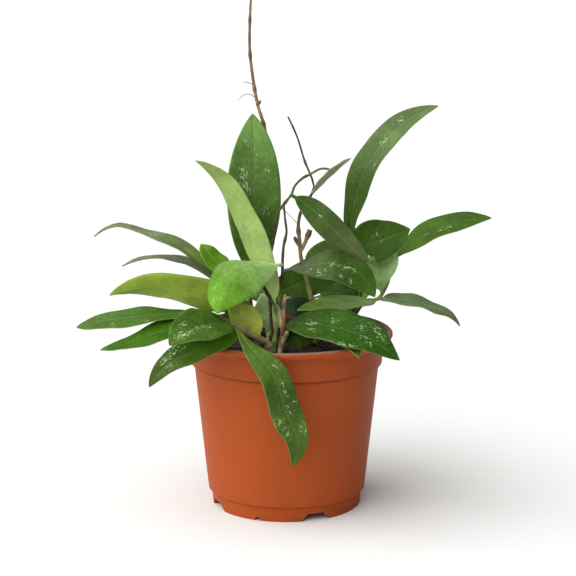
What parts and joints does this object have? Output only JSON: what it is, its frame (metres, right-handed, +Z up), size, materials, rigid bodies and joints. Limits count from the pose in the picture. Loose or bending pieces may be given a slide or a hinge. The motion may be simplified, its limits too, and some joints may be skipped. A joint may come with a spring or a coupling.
{
  "type": "potted hoya plant",
  "caption": "Potted hoya houseplant: upright and arching vines with thick lance-shaped leaves in a round tapered nursery pot with a rolled lip.",
  "frame": {"origin": "middle of the pot's underside, on the flat pad under its floor", "axes": "+Z up along the pot's axis, -Y to the front, +X to the viewer's right"},
  "size_m": [0.3203, 0.2283, 0.4081],
  "materials": {
    "pot": "satin terracotta-coloured",
    "soil": "damp peat",
    "vine": "smooth bark",
    "leaf": "waxy",
    "pale_leaf": "waxy underside",
    "young_leaf": "waxy"
  },
  "bodies": {
    "root": {"leaf_back_broad": "leaf", "leaf_base_small": "leaf", "leaf_front_hanging": "leaf", "leaf_front_right": "leaf", "leaf_heart_bright": "young_leaf", "leaf_heart_olive": "pale_leaf", "leaf_inner_left": "leaf", "leaf_inner_low": "leaf", "leaf_inner_right": "leaf", "leaf_left_curled": "leaf", "leaf_left_drooping": "leaf", "leaf_left_long": "leaf", "leaf_left_low": "leaf", "leaf_left_narrow": "leaf", "leaf_left_near": "leaf", "leaf_left_olive": "pale_leaf", "leaf_left_top": "leaf", "leaf_middle": "leaf", "leaf_middle_rear": "leaf", "leaf_pale_tall": "pale_leaf", "leaf_rear_high": "leaf", "leaf_rear_left": "leaf", "leaf_rear_low": "leaf", "leaf_rear_middle": "leaf", "leaf_rear_right": "leaf", "leaf_rear_upright": "leaf", "leaf_right_arched": "leaf", "leaf_right_dark": "leaf", "leaf_right_inner": "leaf", "leaf_right_long": "leaf", "leaf_right_low": "leaf", "leaf_right_tall": "leaf", "leaf_under_right": "leaf", "leaf_upper_middle": "leaf", "leaf_upper_slim": "leaf", "leaf_young": "young_leaf", "pot": "pot", "soil": "soil", "vine_arch": "vine", "vine_fork": "vine", "vine_front": "vine", "vine_left": "vine", "vine_middle": "vine", "vine_right": "vine", "vine_runner": "vine", "vine_tall": "vine", "vine_whip": "vine"}
  },
  "joints": []
}
